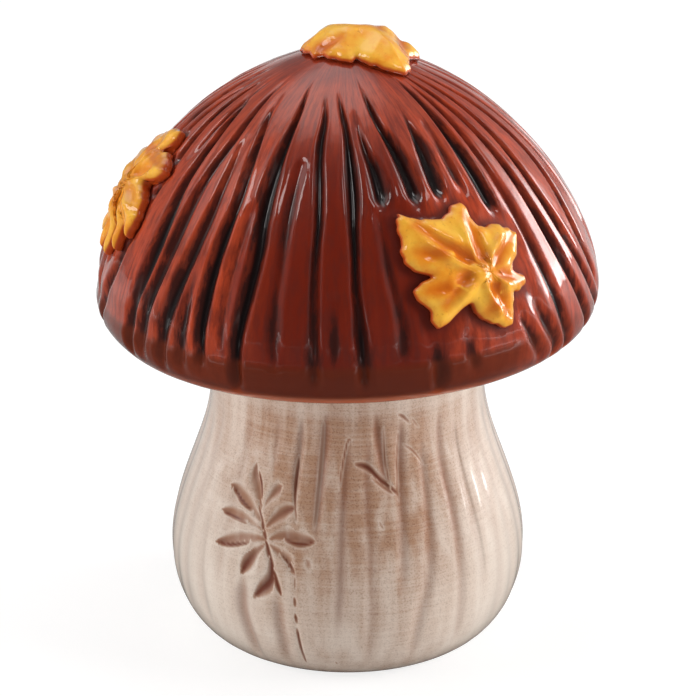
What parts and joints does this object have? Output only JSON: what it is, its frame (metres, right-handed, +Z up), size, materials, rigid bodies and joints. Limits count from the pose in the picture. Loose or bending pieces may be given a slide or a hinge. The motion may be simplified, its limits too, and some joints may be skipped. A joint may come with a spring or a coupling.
{
  "type": "ceramic mushroom ornament",
  "caption": "Hollow glazed ceramic mushroom ornament with a fluted domed cap, a gourd-shaped stem with a pressed leaf, and applied maple leaves.",
  "frame": {"origin": "centre of the flat foot at its lowest plane", "axes": "+Z up through the stem to the crown, the front with the pressed leaf faces -Y, +X to the viewer's right"},
  "size_m": [0.1182, 0.118, 0.1505],
  "materials": {
    "cap_glaze": "gloss red-brown glaze, darker in the flutes",
    "stem_glaze": "clear gloss glaze over a brushed brown wash",
    "fired_slip": "pale fired slip under clear glaze",
    "leaf_glaze": "gloss amber glaze with orange veins"
  },
  "bodies": {
    "root": {"cap": "cap_glaze", "stem": "stem_glaze", "slip_joint": "fired_slip", "crown_leaf": "leaf_glaze", "front_leaf": "leaf_glaze", "left_leaf": "leaf_glaze", "back_leaf": "leaf_glaze"}
  },
  "joints": []
}
